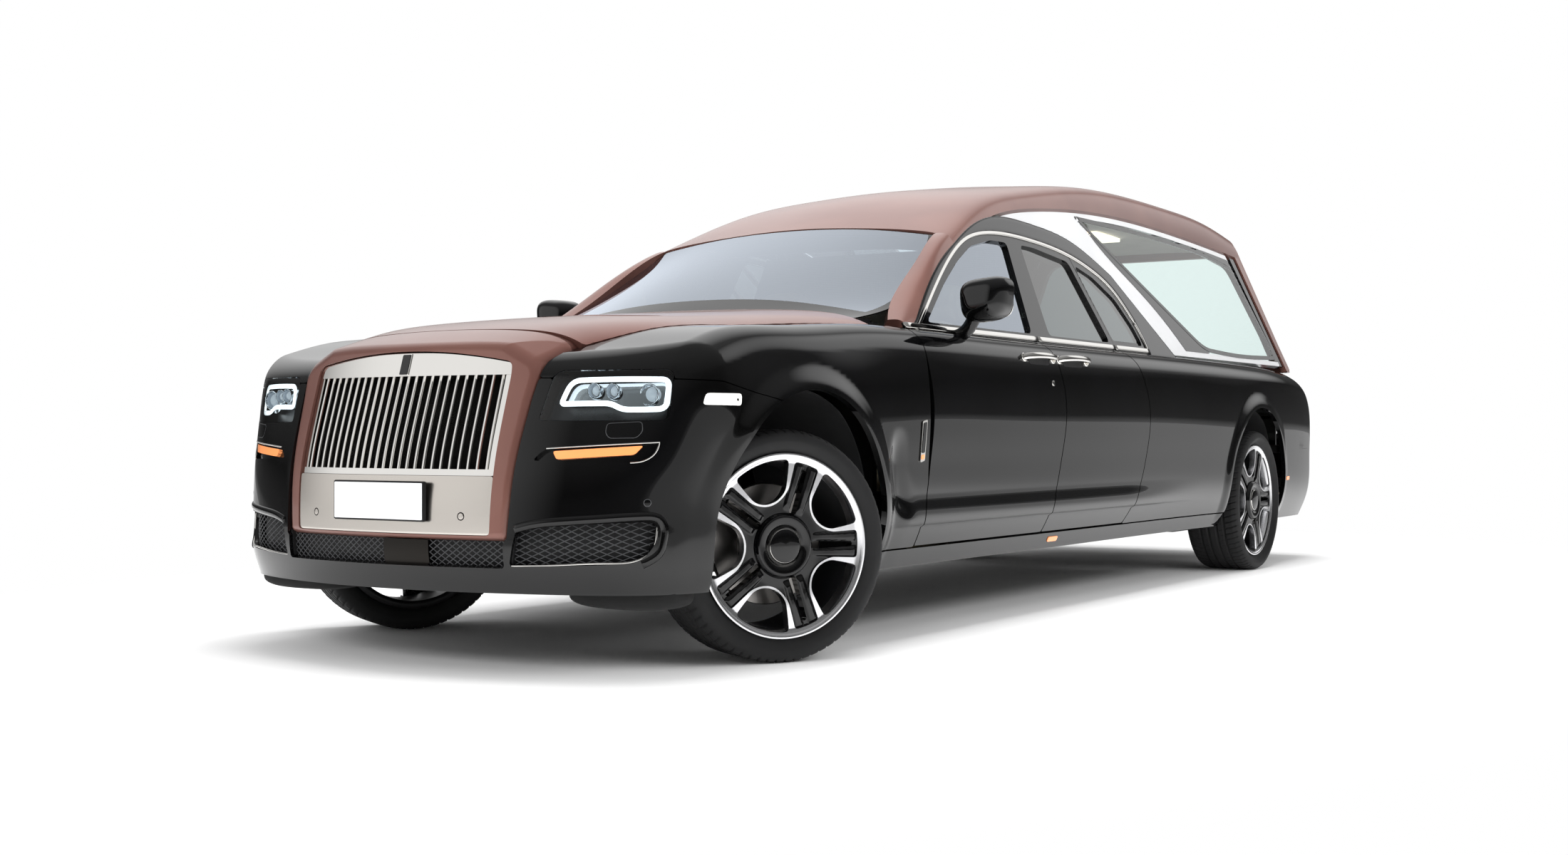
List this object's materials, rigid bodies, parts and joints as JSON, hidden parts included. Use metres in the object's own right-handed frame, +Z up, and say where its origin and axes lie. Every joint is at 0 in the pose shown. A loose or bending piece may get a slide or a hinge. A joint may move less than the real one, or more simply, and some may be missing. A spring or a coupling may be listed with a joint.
{
  "type": "hearse",
  "caption": "Long-wheelbase glazed hearse with opening doors, hood and tailgate, steered front wheels and a lined load bay that takes a coffin.",
  "frame": {"origin": "on the floor below the middle of the car", "axes": "+Z up, the nose points to -Y, +X is the left side of the car"},
  "size_m": [2.184, 6.54, 1.912],
  "materials": {
    "body_lacquer": "deep gloss black lacquer under clear coat",
    "copper_lacquer": "metallic copper rose lacquer under clear coat",
    "silver_lacquer": "bright silver metallic lacquer",
    "polished_metal": "mirror polished stainless steel and chrome",
    "window_glass": "green tinted safety glass",
    "lamp_glass": "clear lamp cover over lit lenses",
    "amber_lens": "orange lens, lit",
    "red_lens": "red lens",
    "plate_white": "blank white reflective plate",
    "moulded_plastic": "moulded black plastic",
    "underbody_steel": "stone-chip coated steel",
    "cast_iron": "cast metal",
    "lining_fabric": "light grey lining over boards",
    "cream_leather": "cream leather",
    "dash_leather": "dark grained leather",
    "tyre_rubber": "ribbed black rubber",
    "rim_alloy": "machined face with black inlays"
  },
  "bodies": {
    "body": {"body_side_left": "body_lacquer", "body_side_right": "body_lacquer", "front_fender_left": "body_lacquer", "front_fender_right": "body_lacquer", "front_bumper": "body_lacquer", "rear_bumper": "body_lacquer", "sills": "body_lacquer", "roof": "copper_lacquer", "grille_surround": "copper_lacquer", "side_bands": "silver_lacquer", "grille": "polished_metal", "plate_panel": "polished_metal", "windscreen": "window_glass", "side_glass": "window_glass", "headlamps": "lamp_glass", "indicators": "amber_lens", "tail_lamps": "red_lens", "front_plate": "plate_white", "lower_grille": "moulded_plastic", "wheel_liners": "moulded_plastic", "firewall": "moulded_plastic", "radiator": "moulded_plastic", "floor_pan": "underbody_steel", "front_suspension": "underbody_steel", "rear_axle": "underbody_steel", "exhaust": "underbody_steel", "engine": "cast_iron", "cargo_lining": "lining_fabric", "front_seats": "cream_leather", "dashboard": "dash_leather"},
    "hood": {"hood": "copper_lacquer"},
    "tailgate": {"tailgate": "body_lacquer", "tailgate_glass": "window_glass", "rear_plate": "plate_white"},
    "front_door_left": {"front_door_left": "body_lacquer", "mirror_left": "body_lacquer", "front_door_glass_left": "window_glass"},
    "rear_door_left": {"rear_door_left": "body_lacquer", "rear_door_glass_left": "window_glass"},
    "steering_left": {"front_knuckle_left": "cast_iron"},
    "front_wheel_left": {"front_tyre_left": "tyre_rubber", "front_rim_left": "rim_alloy"},
    "rear_wheel_left": {"rear_tyre_left": "tyre_rubber", "rear_rim_left": "rim_alloy"},
    "front_door_right": {"front_door_right": "body_lacquer", "mirror_right": "body_lacquer", "front_door_glass_right": "window_glass"},
    "rear_door_right": {"rear_door_right": "body_lacquer", "rear_door_glass_right": "window_glass"},
    "steering_right": {"front_knuckle_right": "cast_iron"},
    "front_wheel_right": {"front_tyre_right": "tyre_rubber", "front_rim_right": "rim_alloy"},
    "rear_wheel_right": {"rear_tyre_right": "tyre_rubber", "rear_rim_right": "rim_alloy"}
  },
  "joints": [
    {"name": "front_door_left_open", "type": "hinge", "parent": "body", "child": "front_door_left", "pos_m": [0.9665, -1.634, 0.7], "axis": [0, 0, -1], "range_deg": [0, 65]},
    {"name": "rear_door_left_open", "type": "hinge", "parent": "body", "child": "rear_door_left", "pos_m": [0.968, 0.4775, 0.7], "axis": [0, 0, 1], "range_deg": [0, 75]},
    {"name": "steer_left", "type": "hinge", "parent": "body", "child": "steering_left", "pos_m": [0.75, -2.366, 0.36], "axis": [0, 0, 1], "range_deg": [-6.2, 63.8]},
    {"name": "front_wheel_left_spin", "type": "hinge", "parent": "steering_left", "child": "front_wheel_left", "pos_m": [0.81134, -2.39972, 0.36], "axis": [0.8763, -0.4818, 0], "continuous": true},
    {"name": "rear_wheel_left_spin", "type": "hinge", "parent": "body", "child": "rear_wheel_left", "pos_m": [0.826, 2.039, 0.36], "axis": [1, 0, 0], "continuous": true},
    {"name": "front_door_right_open", "type": "hinge", "parent": "body", "child": "front_door_right", "pos_m": [-0.9665, -1.634, 0.7], "axis": [0, 0, 1], "range_deg": [0, 65]},
    {"name": "rear_door_right_open", "type": "hinge", "parent": "body", "child": "rear_door_right", "pos_m": [-0.968, 0.4775, 0.7], "axis": [0, 0, -1], "range_deg": [0, 75]},
    {"name": "steer_right", "type": "hinge", "parent": "body", "child": "steering_right", "pos_m": [-0.75, -2.366, 0.36], "axis": [0, 0, 1], "range_deg": [-6.2, 63.8]},
    {"name": "front_wheel_right_spin", "type": "hinge", "parent": "steering_right", "child": "front_wheel_right", "pos_m": [-0.81134, -2.33228, 0.36], "axis": [0.8763, -0.4818, 0], "continuous": true},
    {"name": "rear_wheel_right_spin", "type": "hinge", "parent": "body", "child": "rear_wheel_right", "pos_m": [-0.826, 2.039, 0.36], "axis": [1, 0, 0], "continuous": true},
    {"name": "hood_open", "type": "hinge", "parent": "body", "child": "hood", "pos_m": [0, -1.7, 1.165], "axis": [-1, 0, 0], "range_deg": [0, 50]},
    {"name": "tailgate_open", "type": "hinge", "parent": "body", "child": "tailgate", "pos_m": [0, 2.753, 1.851], "axis": [1, 0, 0], "range_deg": [0, 80]}
  ],
  "couplings": [
    {"joint": "steer_right", "follows": "steer_left", "ratio": 1}
  ]
}
